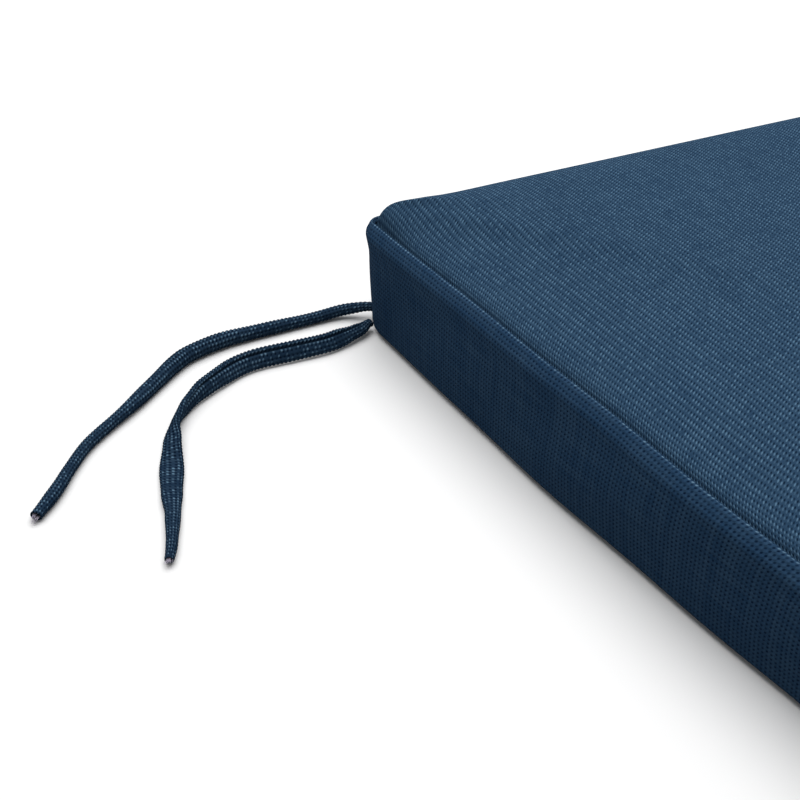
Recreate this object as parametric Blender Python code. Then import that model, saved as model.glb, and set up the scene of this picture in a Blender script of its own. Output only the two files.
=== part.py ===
"""Bench cushion: a crowned, filled seat cushion with a boxing band and two pairs of ties.

The long side runs along X and the back edge faces +Y. The cushion lies on its back on the
plane z = 0, with the origin under its middle.
"""

import math

import bmesh
import bpy
from mathutils import Vector

MM = 0.001

# Driving dimensions in metres
LENGTH = 1.200
DEPTH = 0.460
THICKNESS = 0.0650
CLEARANCE = 0.0003

# Boxing band: a strip of cloth that rolls over at both edges into the seams. A lip is a wide
# curve up to an angle, a straight slope and a tight fold, which ends at a second angle
BAND_CLOTH = 0.0012
LOWER_LIP = (0.0034, 60.0, 0.0, 0.0034, 135.0)
UPPER_LIP = (0.0044, 40.0, 0.0032, 0.0020, 170.0)
BAND_LOW = 0.0013
BAND_HIGH = 0.0486
BAND_BELLY = 0.0008

# Corners in plan: tighter below the top lip than at the bottom seam, and tightest at the lip
CORNER_TOP = 0.021
CORNER_LIP = 0.0150
CORNER_BOTTOM = 0.028
LIP_REACH = 0.006
CROWN_CORNER_REACH = 0.020

# Sides in plan: each bows out between its corners, with the cloth's slow unevenness
BOW_LONG = 0.0034
BOW_SHORT = 0.0038
WAVER = 0.0014

# Top panel: a steep shoulder leaves the seam, taller at the corners, and the crown then climbs
# on over a reach that is short beside the long sides and long beside the short ones
SHOULDER = 0.0024
SHOULDER_CORNER = 0.0070
SHOULDER_REACH = 0.0011
SHOULDER_FADE = 0.014
REACH_LONG = 0.0076
REACH_SHORT = 0.038
REACH_CORNER_LONG = 0.0090
REACH_CORNER_SHORT = 0.020
CORNER_FADE = 0.028
CROWN_DOME = 0.0020
# Bottom panel: it curls up to the seam over this width, and is flat inside it
BOTTOM_CURL = 0.016

# Ring resolution: segments on each long side, short side and corner
LONG_STEPS = 24
SHORT_STEPS = 14
CORNER_STEPS = 9

# Cloth tubes of the ties, by distance along the tie as a share of its length: the flattened
# width and thickness in mm, and how far the strip has rolled about its own line, in degrees
LOWER_TIE_FORM = (
    # share, width, thickness, roll
    (0.00, 4.0, 3.4, 10.0),
    (0.05, 6.4, 3.2, 30.0),
    (0.11, 8.4, 3.0, 48.0),
    (0.25, 8.8, 2.9, 55.0),
    (0.36, 8.8, 3.0, 55.0),
    (0.44, 8.0, 3.2, 64.0),
    (0.51, 7.0, 3.4, 84.0),
    (0.57, 6.6, 3.6, 112.0),
    (0.64, 7.8, 3.0, 152.0),
    (0.73, 9.2, 2.5, 178.0),
    (0.80, 8.0, 2.8, 180.0),
    (0.87, 5.8, 3.4, 180.0),
    (0.95, 4.4, 3.6, 180.0),
    (1.00, 3.6, 3.2, 180.0),
)
UPPER_TIE_FORM = (
    # share, width, thickness, roll
    (0.00, 4.4, 3.8, 20.0),
    (0.06, 5.6, 4.6, 20.0),
    (0.14, 5.4, 4.8, 20.0),
    (0.24, 6.2, 5.4, 25.0),
    (0.36, 7.2, 6.0, 30.0),
    (0.44, 7.2, 5.8, 30.0),
    (0.57, 6.4, 5.0, 25.0),
    (0.70, 4.9, 4.4, 10.0),
    (0.84, 4.8, 4.2, 0.0),
    (0.94, 5.4, 4.4, 0.0),
    (1.00, 4.6, 3.6, 0.0),
)

# Ties' routes in mm from the sharp corner of the plan: out along X past the end of the
# cushion, forward from the back edge, and the height of the tie's middle
UPPER_TIE_ROUTE = (
    # out, back, height
    (-7.8, -7.6, 5.8),
    (-5.6, -5.4, 5.5),
    (-1.6, -2.8, 4.6),
    (5.0, -0.2, 3.5),
    (12.8, 0.2, 2.9),
    (20.5, 0.0, 2.8),
    (35.5, -0.2, 3.0),
    (50.5, -0.4, 3.2),
    (65.0, -1.4, 3.4),
    (81.0, -5.6, 3.4),
    (90.5, -10.9, 3.3),
    (101.0, -18.9, 3.2),
    (120.5, -34.0, 3.0),
    (137.5, -45.8, 2.5),
    (147.0, -53.4, 2.4),
    (157.5, -64.8, 2.4),
    (164.5, -73.2, 2.5),
    (171.0, -80.2, 2.5),
    (179.0, -87.9, 2.4),
)
LOWER_TIE_ROUTE = (
    # out, back, height
    (-1.2, -16.2, 3.5),
    (1.0, -17.0, 3.5),
    (4.2, -19.0, 3.6),
    (9.0, -20.9, 3.8),
    (18.0, -23.6, 4.2),
    (26.5, -25.2, 4.4),
    (41.0, -25.0, 4.5),
    (55.0, -24.3, 4.5),
    (62.5, -24.8, 4.5),
    (70.5, -27.0, 4.6),
    (79.0, -31.0, 4.7),
    (87.0, -35.2, 4.7),
    (94.0, -39.6, 4.5),
    (103.0, -47.0, 3.8),
    (110.0, -55.2, 2.9),
    (114.8, -63.6, 2.2),
    (123.2, -82.0, 1.8),
    (131.2, -100.6, 2.0),
    (134.9, -109.8, 2.2),
    (142.7, -126.6, 2.4),
    (147.0, -134.3, 2.3),
)
TIE_STEPS = 52
TIE_SIDES = 10


def clear_scene():
    """Removes every object that the scene starts with."""
    for obj in list(bpy.data.objects):
        bpy.data.objects.remove(obj)


def fabric(name, colour, roughness):
    """A plain woven cloth colour."""
    material = bpy.data.materials.new(name)
    material.use_nodes = True
    shader = material.node_tree.nodes["Principled BSDF"]
    shader.inputs["Base Color"].default_value = (*colour, 1.0)
    shader.inputs["Roughness"].default_value = roughness
    shader.inputs["Metallic"].default_value = 0.0
    return material


def finish(name, bm, material):
    """Turns a closed bmesh into a smooth-shaded object."""
    bmesh.ops.recalc_face_normals(bm, faces=bm.faces)
    mesh = bpy.data.meshes.new(name)
    bm.to_mesh(mesh)
    bm.free()
    mesh.shade_smooth()
    mesh.set_sharp_from_angle(angle=math.radians(50))
    mesh.materials.append(material)
    obj = bpy.data.objects.new(name, mesh)
    bpy.context.collection.objects.link(obj)
    return obj


def smooth_step(share):
    """0 to 1 with level ends."""
    share = min(max(share, 0.0), 1.0)
    return share * share * (3.0 - 2.0 * share)


def corner_radius(inset, height):
    """The plan radius at a height: tight at the seam, whose lip narrows at the corners, and
    growing again further in."""
    level = (height - BAND_LOW) / (BAND_HIGH - BAND_LOW)
    outer = CORNER_BOTTOM + (CORNER_TOP - CORNER_BOTTOM) * smooth_step(level)
    outer += (CORNER_LIP - CORNER_TOP) * smooth_step((level - 0.72) / 0.25)
    inner = outer - min(inset, LIP_REACH) * 1.9 + max(inset - CROWN_CORNER_REACH, 0.0) * 0.5
    return min(inner, (DEPTH / 2 - inset) * 0.8)


def bow(along, half, rise, phase):
    """How far a side stands out at a distance along it, with its slow unevenness."""
    share = along / half
    ends = max(0.0, 1.0 - share * share)
    waves = math.sin(3.4 * share + phase) + 0.3 * math.sin(13.0 * share + 2.0 * phase)
    return ends * (rise + WAVER * waves)


def plan_ring(inset, height):
    """One closed line around the cushion, seen from above, anticlockwise from the +X side."""
    half_x = LENGTH / 2 - inset
    half_y = DEPTH / 2 - inset
    radius = corner_radius(inset, height)
    fade = max(0.0, 1.0 - inset / 0.12)
    level = smooth_step((height - BAND_LOW) / (BAND_HIGH - BAND_LOW))
    turned = 3.1 - 2.6 * level
    points = []

    def side(start, end, steps, half, rise, phase):
        outward = Vector((end[1] - start[1], start[0] - end[0])).normalized()
        for step in range(steps):
            share = step / steps
            x = start[0] + (end[0] - start[0]) * share
            y = start[1] + (end[1] - start[1]) * share
            along = (2.0 * share - 1.0) * half
            push = bow(along, half, rise, phase) * fade
            points.append(Vector((x + outward.x * push, y + outward.y * push, height)))

    def corner(centre, first_deg):
        for step in range(CORNER_STEPS):
            angle = math.radians(first_deg + 90.0 * step / CORNER_STEPS)
            x = centre[0] + radius * math.cos(angle)
            y = centre[1] + radius * math.sin(angle)
            points.append(Vector((x, y, height)))

    in_x = half_x - radius
    in_y = half_y - radius
    side((half_x, -in_y), (half_x, in_y), SHORT_STEPS, in_y, BOW_SHORT, 0.0)
    corner((in_x, in_y), 0.0)
    side((in_x, half_y), (-in_x, half_y), LONG_STEPS, in_x, BOW_LONG, 0.0)
    corner((-in_x, in_y), 90.0)
    side((-half_x, in_y), (-half_x, -in_y), SHORT_STEPS, in_y, BOW_SHORT, turned)
    corner((-in_x, -in_y), 180.0)
    side((-in_x, -half_y), (in_x, -half_y), LONG_STEPS, in_x, BOW_LONG, 0.6)
    corner((in_x, -in_y), 270.0)
    return points


def edge_ring(bm, points):
    """A closed loop of edges through the points."""
    verts = [bm.verts.new(point) for point in points]
    for index, vert in enumerate(verts):
        bm.edges.new((vert, verts[(index + 1) % len(verts)]))
    return verts


def loop_edges(bm, verts):
    """The edges between neighbours of a closed loop."""
    return [bm.edges.get((verts[i - 1], verts[i])) for i in range(len(verts))]


def extrude_ring(bm, verts, points):
    """Extrudes a loop and moves the new loop on to the points."""
    grown = bmesh.ops.extrude_edge_only(bm, edges=loop_edges(bm, verts))
    fresh = {elem for elem in grown["geom"] if isinstance(elem, bmesh.types.BMVert)}
    moved = []
    for vert, point in zip(verts, points, strict=True):
        partner = next(e.other_vert(vert) for e in vert.link_edges if e.other_vert(vert) in fresh)
        partner.co = point
        moved.append(partner)
    return moved


def lip_rise(lip):
    """Height from the wall's end to the crest of a lip."""
    wide, turn_deg, slope, tight, _ = lip
    turn = math.radians(turn_deg)
    return (wide - tight) * math.sin(turn) + slope * math.cos(turn) + tight


def lip_point(lip, angle_deg, depth):
    """(inset, height) on a lip, at a depth under its surface; 0 degrees faces straight out."""
    wide, turn_deg, slope, tight, _ = lip
    inset, rise, radius = wide, 0.0, wide
    if angle_deg > turn_deg:
        turn = math.radians(turn_deg)
        inset += slope * math.sin(turn) - (wide - tight) * math.cos(turn)
        rise = lip_rise(lip) - tight
        radius = tight
    angle = math.radians(angle_deg)
    inset -= (radius - depth) * math.cos(angle)
    rise += (radius - depth) * math.sin(angle) - lip_rise(lip)
    return inset, BAND_HIGH + rise if lip is UPPER_LIP else BAND_LOW - rise


def lip_angles(lip, steps, past):
    """The angles of a lip's rows, up to some degrees past its end."""
    _, turn, slope, _, end = lip
    first = [turn * i / steps for i in range(steps + 1)]
    skip = 0 if slope > 0.0 else 1
    span = end + past - turn
    return first + [turn + 0.001 + span * i / steps for i in range(skip, steps + 1)]


def seam_of(lip):
    """(inset, height) of the seam beside a lip."""
    return lip_point(lip, lip[4] + 12.0, -CLEARANCE / 2.0)


def wall_points(depth, steps, gap=0.0):
    """A C-shaped section from the lower lip up the wall to the upper one."""
    ends = []
    for lip in (LOWER_LIP, UPPER_LIP):
        past = math.degrees(gap / (lip[3] - depth)) + 2.0 if gap > 0.0 else 0.0
        ends.append([lip_point(lip, angle, depth) for angle in lip_angles(lip, steps, past)])
    belly = (depth - BAND_BELLY, (BAND_LOW + BAND_HIGH) / 2)
    return [*reversed(ends[0]), belly, *ends[1]]


def boxing_band(material):
    """The strip of cloth around the sides, with a rolled lip at each seam."""
    section = [*wall_points(0.0, 3), *reversed(wall_points(BAND_CLOTH, 2))]
    bm = bmesh.new()
    first = edge_ring(bm, plan_ring(*section[0]))
    ring = first
    for inset, height in section[1:]:
        ring = extrude_ring(bm, ring, plan_ring(inset, height))
    bmesh.ops.bridge_loops(bm, edges=loop_edges(bm, ring) + loop_edges(bm, first))
    return finish("boxing_band", bm, material)


def crown_climbs(seam):
    """The shoulder's height and the reach past it at each point of a ring."""
    corner = seam[0] + corner_radius(*seam)
    short = (SHORT_STEPS, DEPTH / 2 - corner, REACH_SHORT, REACH_CORNER_SHORT)
    long = (LONG_STEPS, LENGTH / 2 - corner, REACH_LONG, REACH_CORNER_LONG)
    found = []
    for (steps, half, reach, end), turned in ((short, long), (long, short)) * 2:
        for step in range(steps):
            away = half - abs(2.0 * step / steps - 1.0) * half
            near = math.exp(-((away / SHOULDER_FADE) ** 2))
            fade = math.exp(-away / CORNER_FADE)
            shoulder = SHOULDER + (SHOULDER_CORNER - SHOULDER) * near
            found.append((shoulder, reach + (end - reach) * fade))
        for step in range(CORNER_STEPS):
            ease = smooth_step(step / CORNER_STEPS)
            found.append((SHOULDER_CORNER, end + (turned[3] - end) * ease))
    return found


def top_height(inset, seam, shoulder, reach):
    """The crown's height: the shoulder, the climb past it and a faint dome over the panel."""
    seam_inset, seam_height = seam
    run = inset - seam_inset
    edge = shoulder * (1.0 - math.exp(-run / SHOULDER_REACH))
    rest = THICKNESS - CROWN_DOME - seam_height - shoulder
    dome = CROWN_DOME * smooth_step(run / (DEPTH / 2 - seam_inset))
    return seam_height + edge + rest * (1.0 - math.exp(-run / reach)) + dome


def bottom_height(inset, seam):
    """The rest face at z = 0, curled up to the seam at its rim."""
    seam_inset, seam_height = seam
    share = max(0.0, 1.0 - (inset - seam_inset) / BOTTOM_CURL)
    return seam_height * share * share


def cushion(material):
    """Top and bottom panels drawn over the filling, as one solid inside the band."""
    walls = wall_points(BAND_CLOTH + CLEARANCE, 2, gap=CLEARANCE)
    lower_seam = seam_of(LOWER_LIP)
    upper_seam = seam_of(UPPER_LIP)
    mm_steps = (0.6, 1.5, 3.0, 5.5, 9.0, 14.0, 21.0, 32.0, 50.0, 80.0, 120.0, 175.0)
    top = [upper_seam[0] + mm * MM for mm in mm_steps]
    curl = [lower_seam[0] + BOTTOM_CURL * share for share in (0.2, 0.45, 0.75, 1.0)]
    flat = [0.045, 0.090, 0.182]
    bottom = [(inset, bottom_height(inset, lower_seam)) for inset in [*curl, *flat]]
    rows = [*reversed(bottom), lower_seam, *walls, upper_seam]
    bm = bmesh.new()
    ring = edge_ring(bm, plan_ring(*rows[0]))
    bmesh.ops.contextual_create(bm, geom=ring)
    for inset, height in rows[1:]:
        ring = extrude_ring(bm, ring, plan_ring(inset, height))
    for inset in top:
        points = plan_ring(inset, top_height(inset, upper_seam, SHOULDER, REACH_LONG))
        for point, climb in zip(points, crown_climbs(upper_seam), strict=True):
            point.z = top_height(inset, upper_seam, *climb)
        ring = extrude_ring(bm, ring, points)
    bmesh.ops.contextual_create(bm, geom=ring)
    return finish("cushion", bm, material)


def smooth_route(points, steps):
    """Evenly spaced points on a smooth curve through the route's own points."""
    ends = [points[0] * 2 - points[1], *points, points[-1] * 2 - points[-2]]
    fine = []
    for a, b, c, d in zip(ends, ends[1:], ends[2:], ends[3:]):
        for step in range(12):
            t = step / 12
            fine.append(
                b
                + (c - a) * (0.5 * t)
                + (a * 2 - b * 5 + c * 4 - d) * (0.5 * t * t)
                + (b * 3 - a - c * 3 + d) * (0.5 * t * t * t)
            )
    fine.append(points[-1])
    lengths = [0.0]
    for a, b in zip(fine, fine[1:]):
        lengths.append(lengths[-1] + (b - a).length)
    even = []
    index = 0
    for step in range(steps + 1):
        target = lengths[-1] * step / steps
        while index < len(fine) - 2 and lengths[index + 1] < target:
            index += 1
        span = lengths[index + 1] - lengths[index]
        even.append(fine[index].lerp(fine[index + 1], (target - lengths[index]) / span))
    return even


def form_at(table, share):
    """Width, thickness and roll at a share of the tie's length, eased between the rows."""
    for low, high in zip(table, table[1:]):
        if share <= high[0]:
            ease = smooth_step((share - low[0]) / (high[0] - low[0]))
            return [a + (b - a) * ease for a, b in zip(low[1:], high[1:])]
    return list(table[-1][1:])


def tie_section(centre, along, side_sign, width, thickness, roll_deg):
    """One flattened ring around the tie, lifted where it would dip under the floor."""
    across = Vector((-along.y, along.x, 0.0)).normalized() * side_sign
    up = across.cross(along) if side_sign > 0 else along.cross(across)
    up = up if up.z > 0 else -up
    roll = math.radians(roll_deg)
    wide = across * math.cos(roll) + up * math.sin(roll)
    thin = up * math.cos(roll) - across * math.sin(roll)
    ring = []
    for side in range(TIE_SIDES):
        angle = 2.0 * math.pi * side / TIE_SIDES
        reach = wide * (math.cos(angle) * width / 2) + thin * (math.sin(angle) * thickness / 2)
        ring.append(centre + reach)
    lowest = min(point.z for point in ring)
    lift = max(0.0, CLEARANCE - lowest)
    return [point + Vector((0.0, 0.0, lift)) for point in ring]


def tie(name, route, form, end_sign, material):
    """One cloth tie lying on the floor from a back corner; end_sign is -1 at the -X end."""
    points = []
    for out, back, height in route:
        x = end_sign * (LENGTH / 2 + out * MM)
        points.append(Vector((x, DEPTH / 2 + back * MM, height * MM)))
    path = smooth_route(points, TIE_STEPS)
    bm = bmesh.new()
    ring = None
    for index, centre in enumerate(path):
        ahead = path[min(index + 1, TIE_STEPS)] - path[max(index - 1, 0)]
        width, thickness, roll = form_at(form, index / TIE_STEPS)
        place = tie_section(centre, ahead.normalized(), end_sign, width * MM, thickness * MM, roll)
        if ring is None:
            ring = edge_ring(bm, place)
            bmesh.ops.contextual_create(bm, geom=ring)
        else:
            ring = extrude_ring(bm, ring, place)
    bmesh.ops.contextual_create(bm, geom=ring)
    return finish(name, bm, material)


def main():
    clear_scene()
    panel_cloth = fabric("panel_cloth", (0.036, 0.085, 0.148), 0.88)
    band_cloth = fabric("band_cloth", (0.016, 0.044, 0.085), 0.88)
    tie_cloth = fabric("tie_cloth", (0.018, 0.050, 0.094), 0.85)
    cushion(panel_cloth)
    boxing_band(band_cloth)
    tie("tie_left_upper", UPPER_TIE_ROUTE, UPPER_TIE_FORM, -1, tie_cloth)
    tie("tie_left_lower", LOWER_TIE_ROUTE, LOWER_TIE_FORM, -1, tie_cloth)
    tie("tie_right_upper", UPPER_TIE_ROUTE, UPPER_TIE_FORM, 1, tie_cloth)
    tie("tie_right_lower", LOWER_TIE_ROUTE, LOWER_TIE_FORM, 1, tie_cloth)


main()
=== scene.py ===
"""A navy bench cushion with a boxing band and cloth ties, lying on its back.

Every length is in metres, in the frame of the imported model: the long side runs along X, the
back edge faces +Y, and the cushion rests on z = 0.
"""

from __future__ import annotations

import logging
import math
import random
from dataclasses import dataclass
from enum import Enum

import bmesh
import bpy
from mathutils import Euler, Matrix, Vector


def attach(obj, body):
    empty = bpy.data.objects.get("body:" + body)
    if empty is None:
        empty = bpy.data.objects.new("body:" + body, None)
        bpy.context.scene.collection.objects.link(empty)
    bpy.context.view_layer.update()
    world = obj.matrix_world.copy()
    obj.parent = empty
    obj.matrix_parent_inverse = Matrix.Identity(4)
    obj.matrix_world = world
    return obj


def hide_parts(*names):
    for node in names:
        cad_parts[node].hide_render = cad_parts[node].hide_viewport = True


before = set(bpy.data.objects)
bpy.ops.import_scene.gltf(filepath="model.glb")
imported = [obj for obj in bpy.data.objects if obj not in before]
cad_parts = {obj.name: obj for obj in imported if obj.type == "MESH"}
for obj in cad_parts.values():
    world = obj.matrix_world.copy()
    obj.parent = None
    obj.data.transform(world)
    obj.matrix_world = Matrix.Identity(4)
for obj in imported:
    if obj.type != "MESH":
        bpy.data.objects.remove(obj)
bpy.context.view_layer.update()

LOG = logging.getLogger("bench_cushion")
MM = 0.001
BODY = "root"

Colour = tuple[float, float, float]
Socket = bpy.types.NodeSocket


class CushionEnd(Enum):
    """The two ends of the cushion along X, by the sign of X."""

    LEFT = -1
    RIGHT = 1


class Lip(Enum):
    """The band's two rolled edges."""

    LOWER = 0
    UPPER = 1


# Routes and forms of the ties, the same as in the part's source


@dataclass(frozen=True)
class TieStation:
    """The cloth tube of a tie at one place.

    Attributes:
        share: Distance along the tie as a share of its length.
        width: Flattened width in mm.
        thickness: Thickness in mm.
        roll: How far the strip has rolled about its own line, in degrees.
    """

    share: float
    width: float
    thickness: float
    roll: float


@dataclass(frozen=True)
class TiePattern:
    """One tie as it lies: where it runs and how its tube is flattened and rolled.

    Attributes:
        route: Points (out, back, height) in mm from the sharp corner of the plan.
        form: Stations along the tie.
        length: Length of the tie in metres.
        widest: Greatest flattened width in metres.
        hem: Place of the folded hem across the width, from -1 to 1.
        hem_depth: Depth of the groove beside the hem as a share of half the thickness.
    """

    route: tuple[tuple[float, float, float], ...]
    form: tuple[TieStation, ...]
    length: float
    widest: float
    hem: float
    hem_depth: float


UPPER_TIE = TiePattern(
    route=(
        (-7.8, -7.6, 5.8),
        (-5.6, -5.4, 5.5),
        (-1.6, -2.8, 4.6),
        (5.0, -0.2, 3.5),
        (12.8, 0.2, 2.9),
        (20.5, 0.0, 2.8),
        (35.5, -0.2, 3.0),
        (50.5, -0.4, 3.2),
        (65.0, -1.4, 3.4),
        (81.0, -5.6, 3.4),
        (90.5, -10.9, 3.3),
        (101.0, -18.9, 3.2),
        (120.5, -34.0, 3.0),
        (137.5, -45.8, 2.5),
        (147.0, -53.4, 2.4),
        (157.5, -64.8, 2.4),
        (164.5, -73.2, 2.5),
        (171.0, -80.2, 2.5),
        (179.0, -87.9, 2.4),
    ),
    form=(
        TieStation(0.00, 4.4, 3.8, 20.0),
        TieStation(0.06, 5.6, 4.6, 20.0),
        TieStation(0.14, 5.4, 4.8, 20.0),
        TieStation(0.24, 6.2, 5.4, 25.0),
        TieStation(0.36, 7.2, 6.0, 30.0),
        TieStation(0.44, 7.2, 5.8, 30.0),
        TieStation(0.57, 6.4, 5.0, 25.0),
        TieStation(0.70, 4.9, 4.4, 10.0),
        TieStation(0.84, 4.8, 4.2, 0.0),
        TieStation(0.94, 5.4, 4.4, 0.0),
        TieStation(1.00, 4.6, 3.6, 0.0),
    ),
    length=0.219,
    widest=0.0068,
    hem=-0.30,
    hem_depth=0.7,
)
LOWER_TIE = TiePattern(
    route=(
        (-1.2, -16.2, 3.5),
        (1.0, -17.0, 3.5),
        (4.2, -19.0, 3.6),
        (9.0, -20.9, 3.8),
        (18.0, -23.6, 4.2),
        (26.5, -25.2, 4.4),
        (41.0, -25.0, 4.5),
        (55.0, -24.3, 4.5),
        (62.5, -24.8, 4.5),
        (70.5, -27.0, 4.6),
        (79.0, -31.0, 4.7),
        (87.0, -35.2, 4.7),
        (94.0, -39.6, 4.5),
        (103.0, -47.0, 3.8),
        (110.0, -55.2, 2.9),
        (114.8, -63.6, 2.2),
        (123.2, -82.0, 1.8),
        (131.2, -100.6, 2.0),
        (134.9, -109.8, 2.2),
        (142.7, -126.6, 2.4),
        (147.0, -134.3, 2.3),
    ),
    form=(
        TieStation(0.00, 4.0, 3.4, 10.0),
        TieStation(0.05, 6.4, 3.2, 30.0),
        TieStation(0.11, 8.4, 3.0, 48.0),
        TieStation(0.25, 8.8, 2.9, 55.0),
        TieStation(0.36, 8.8, 3.0, 55.0),
        TieStation(0.44, 8.0, 3.2, 64.0),
        TieStation(0.51, 7.0, 3.4, 84.0),
        TieStation(0.57, 6.6, 3.6, 112.0),
        TieStation(0.64, 7.8, 3.0, 152.0),
        TieStation(0.73, 9.2, 2.5, 178.0),
        TieStation(0.80, 8.0, 2.8, 180.0),
        TieStation(0.87, 5.8, 3.4, 180.0),
        TieStation(0.95, 4.4, 3.6, 180.0),
        TieStation(1.00, 3.6, 3.2, 180.0),
    ),
    length=0.212,
    widest=0.0084,
    hem=0.45,
    hem_depth=1.1,
)


def smooth_step(share: float) -> float:
    """Eases a share from 0 to 1 with level ends."""
    share = min(max(share, 0.0), 1.0)
    return share * share * (3.0 - 2.0 * share)


# Node helpers


class NodeBench:
    """A node tree with short ways to add the nodes that the finishes need."""

    def __init__(self, tree: bpy.types.NodeTree) -> None:
        """Keeps the tree.

        Args:
            tree: The material's tree or a node group.
        """
        self.tree = tree

    def add(self, kind: str, **values: object) -> bpy.types.Node:
        """Adds a node and sets its plain properties.

        Args:
            kind: Blender's node type name.
            **values: Properties of the node.

        Returns:
            The node.
        """
        node = self.tree.nodes.new(kind)
        for name, value in values.items():
            setattr(node, name, value)
        return node

    def feed(self, socket: Socket, value: Socket | float | tuple[float, ...]) -> None:
        """Links a socket to an input, or sets the input to a number or colour."""
        if isinstance(value, bpy.types.NodeSocket):
            self.tree.links.new(value, socket)
        else:
            socket.default_value = value

    def math(self, operation: str, *values: Socket | float, clamp: bool = False) -> Socket:
        """Adds a Math node.

        Args:
            operation: The operation's name.
            *values: Its inputs.
            clamp: Whether the result is held between 0 and 1.

        Returns:
            The result's socket.
        """
        node = self.add("ShaderNodeMath", operation=operation, use_clamp=clamp)
        for socket, value in zip(node.inputs, values):
            self.feed(socket, value)
        return node.outputs[0]

    def vector(self, operation: str, *values: Socket | tuple[float, ...]) -> Socket:
        """Adds a Vector Math node and returns its vector."""
        node = self.add("ShaderNodeVectorMath", operation=operation)
        for socket, value in zip(node.inputs, values):
            self.feed(socket, value)
        return node.outputs[0]

    def fade(self, value: Socket, low: Socket | float, high: Socket | float) -> Socket:
        """Returns 0 at low, 1 at high, and a smooth step between them."""
        node = self.add("ShaderNodeMapRange", interpolation_type="SMOOTHSTEP")
        self.feed(node.inputs["Value"], value)
        self.feed(node.inputs["From Min"], low)
        self.feed(node.inputs["From Max"], high)
        return node.outputs["Result"]

    def blend(
        self,
        share: Socket | float,
        first: Socket | tuple[float, ...],
        second: Socket | tuple[float, ...],
        mode: str = "MIX",
    ) -> Socket:
        """Mixes two colours.

        Args:
            share: How much of the second colour shows.
            first: The first colour.
            second: The second colour.
            mode: Blend mode.

        Returns:
            The mixed colour's socket.
        """
        node = self.add("ShaderNodeMix", data_type="RGBA", blend_type=mode)
        self.feed(node.inputs[0], share)
        self.feed(node.inputs[6], first)
        self.feed(node.inputs[7], second)
        return node.outputs[2]

    def noise(self, place: Socket, scale: float, detail: float = 2.0) -> bpy.types.Node:
        """Adds a Noise Texture on a vector and returns the node."""
        node = self.add("ShaderNodeTexNoise")
        self.feed(node.inputs["Vector"], place)
        self.feed(node.inputs["Scale"], scale)
        self.feed(node.inputs["Detail"], detail)
        return node

    def join(self, x: Socket | float, y: Socket | float, z: Socket | float = 0.0) -> Socket:
        """Combines three numbers into a vector."""
        node = self.add("ShaderNodeCombineXYZ")
        for socket, value in zip(node.inputs, (x, y, z)):
            self.feed(socket, value)
        return node.outputs[0]

    def split(self, vector: Socket) -> tuple[Socket, Socket, Socket]:
        """Separates a vector into its three numbers."""
        node = self.add("ShaderNodeSeparateXYZ")
        self.feed(node.inputs[0], vector)
        return node.outputs[0], node.outputs[1], node.outputs[2]


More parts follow.
